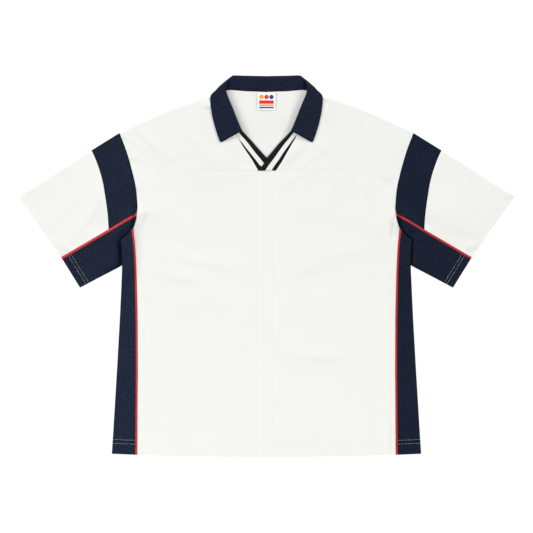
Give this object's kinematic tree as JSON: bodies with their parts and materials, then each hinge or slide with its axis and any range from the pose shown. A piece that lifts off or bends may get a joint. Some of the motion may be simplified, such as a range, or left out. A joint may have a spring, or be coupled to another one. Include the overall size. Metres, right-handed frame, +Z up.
{
  "type": "polo shirt",
  "caption": "Short-sleeved polo shirt lying flat, face up, with its sleeves spread: turned-down collar over an open V neck, yokes, side panels, banded sleeves and contrast piping.",
  "frame": {"origin": "centre of the shirt's bounding box in plan, on the surface it lies on", "axes": "+X across the shirt from the sleeve on the left to the one on the right as seen from above, +Y from the hem to the collar, +Z up, out of the side that shows"},
  "size_m": [0.9918, 0.7607, 0.0106],
  "materials": {
    "white_pique": "matt knitted pique",
    "navy_pique": "matt knitted pique",
    "red_piping": "smooth folded piping",
    "black_rib": "fine rib knit with a white stripe",
    "label_satin": "satin tape"
  },
  "bodies": {
    "root": {"back_panel": "white_pique", "collar": "navy_pique", "front_left": "white_pique", "front_right": "white_pique", "front_strip": "white_pique", "neck_label": "label_satin", "neck_trim_left": "black_rib", "neck_trim_right": "black_rib", "side_panel_left": "navy_pique", "side_panel_right": "navy_pique", "side_piping_left": "red_piping", "side_piping_right": "red_piping", "sleeve_band_left": "navy_pique", "sleeve_band_right": "navy_pique", "sleeve_outer_left": "white_pique", "sleeve_outer_right": "white_pique", "sleeve_piping_left": "red_piping", "sleeve_piping_right": "red_piping", "sleeve_under_left": "navy_pique", "sleeve_under_right": "navy_pique", "yoke_left": "white_pique", "yoke_right": "white_pique"}
  },
  "joints": []
}
